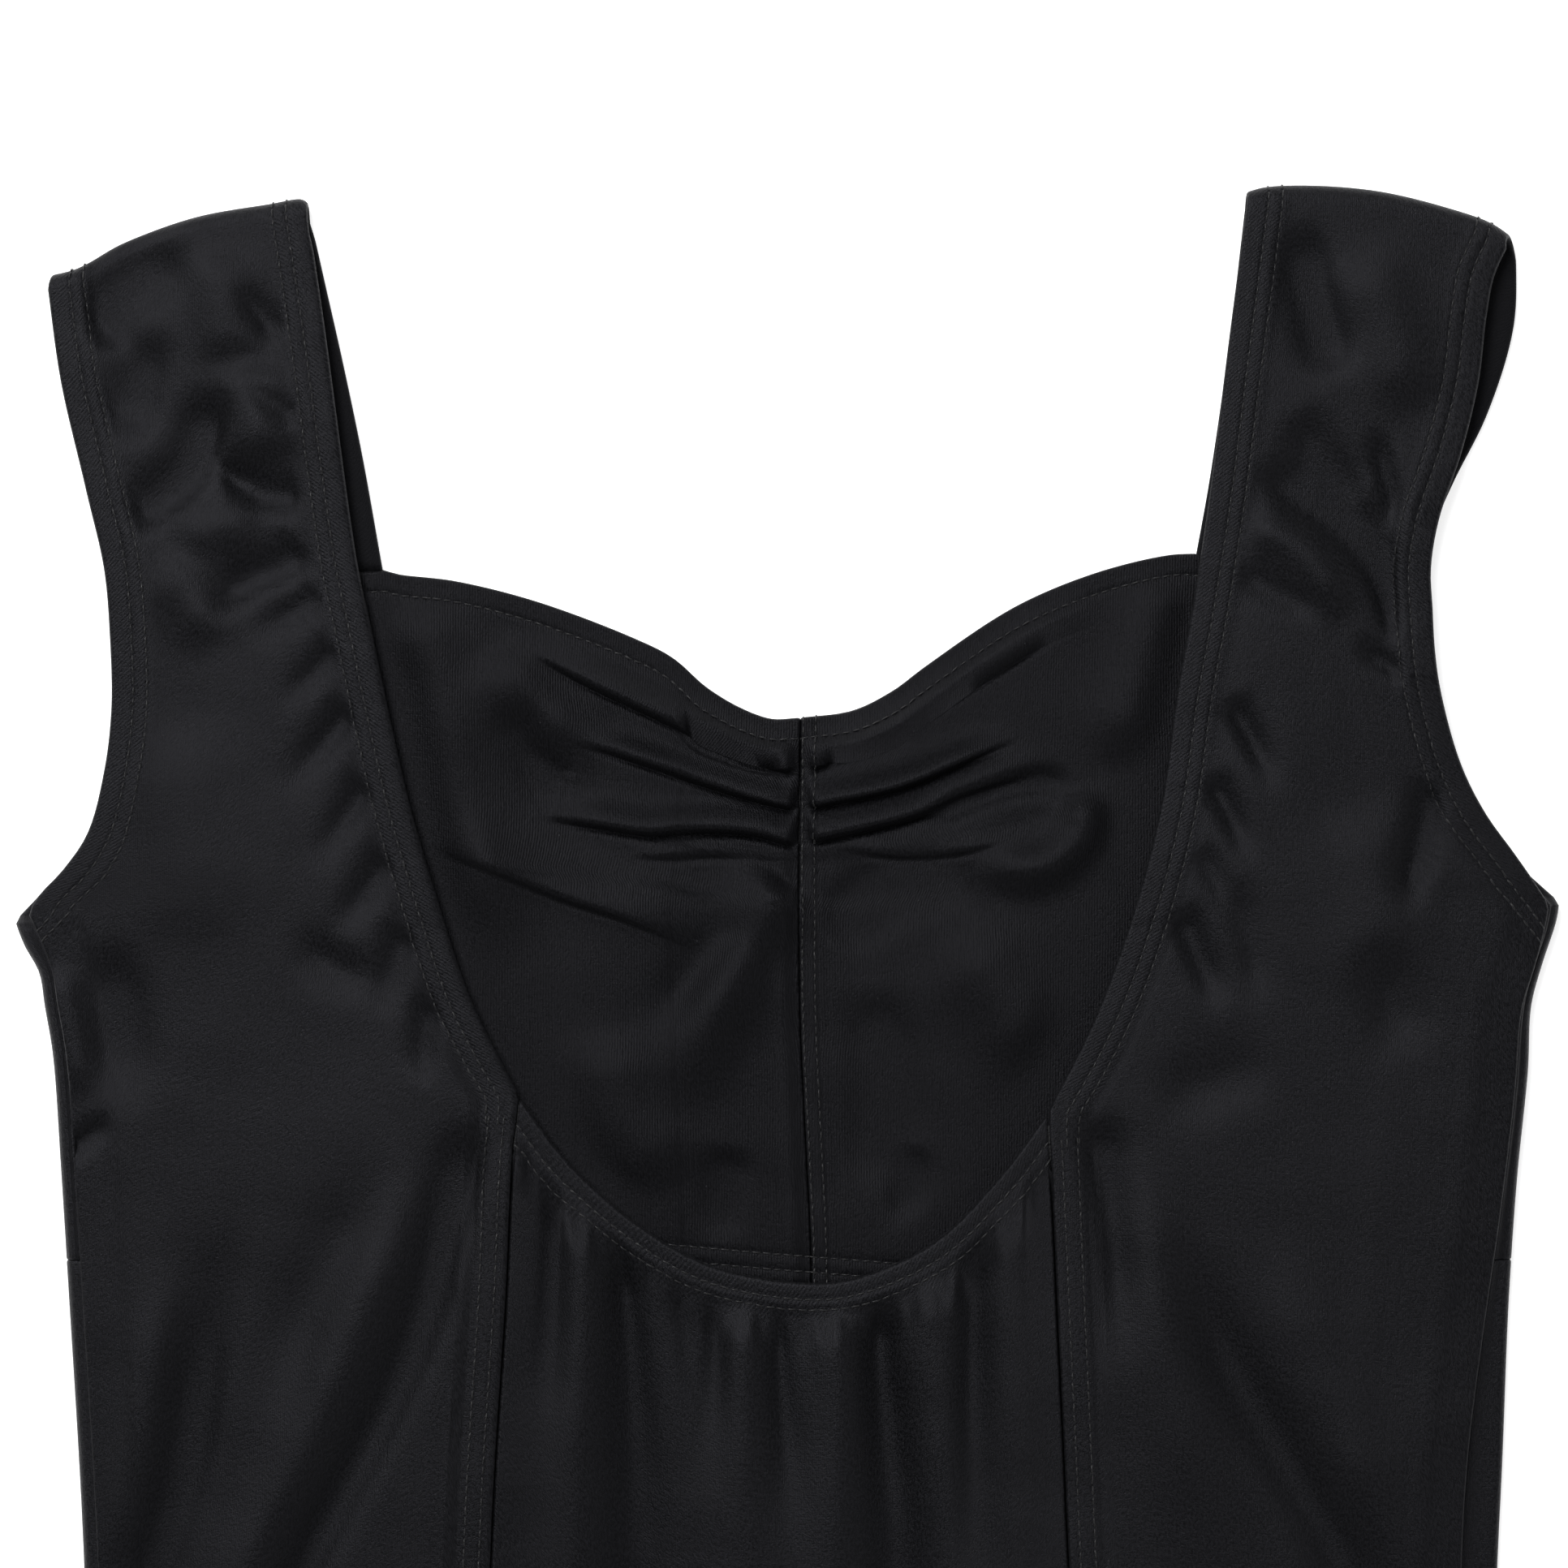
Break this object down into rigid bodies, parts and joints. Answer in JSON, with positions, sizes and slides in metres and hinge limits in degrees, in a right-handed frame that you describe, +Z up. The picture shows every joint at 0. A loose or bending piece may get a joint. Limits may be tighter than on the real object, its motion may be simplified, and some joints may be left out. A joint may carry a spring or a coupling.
{
  "type": "gymnastics leotard",
  "caption": "Sleeveless black knit leotard laid flat, back uppermost: deep U back, wide straps, sweetheart front with a gathered centre seam, high-cut legs.",
  "frame": {"origin": "centre of the leotard's bounding box, on the surface that it lies on", "axes": "+X across the garment, +Y from the crotch to the shoulders, +Z up, out of the garment's back"},
  "size_m": [0.3806, 0.69, 0.01],
  "materials": {
    "shell_knit": "matte black nylon and elastane warp knit",
    "lining_knit": "matte black fine ribbed lining knit",
    "hem_elastic": "matte black flat elastic"
  },
  "bodies": {
    "root": {"back_center_panel": "shell_knit", "front_center_panel": "shell_knit", "back_side_panel_left": "shell_knit", "back_side_panel_right": "shell_knit", "front_bust_panel_left": "shell_knit", "front_bust_panel_right": "shell_knit", "front_side_panel_left": "shell_knit", "front_side_panel_right": "shell_knit", "gusset_panel": "shell_knit", "bust_lining_left": "lining_knit", "bust_lining_right": "lining_knit", "gusset_lining": "lining_knit", "neck_elastic": "hem_elastic", "neckline_elastic_left": "hem_elastic", "neckline_elastic_right": "hem_elastic", "armhole_elastic_left": "hem_elastic", "armhole_elastic_right": "hem_elastic", "leg_elastic_left": "hem_elastic", "leg_elastic_right": "hem_elastic", "underbust_elastic": "hem_elastic", "center_gather_tape": "hem_elastic"}
  },
  "joints": []
}
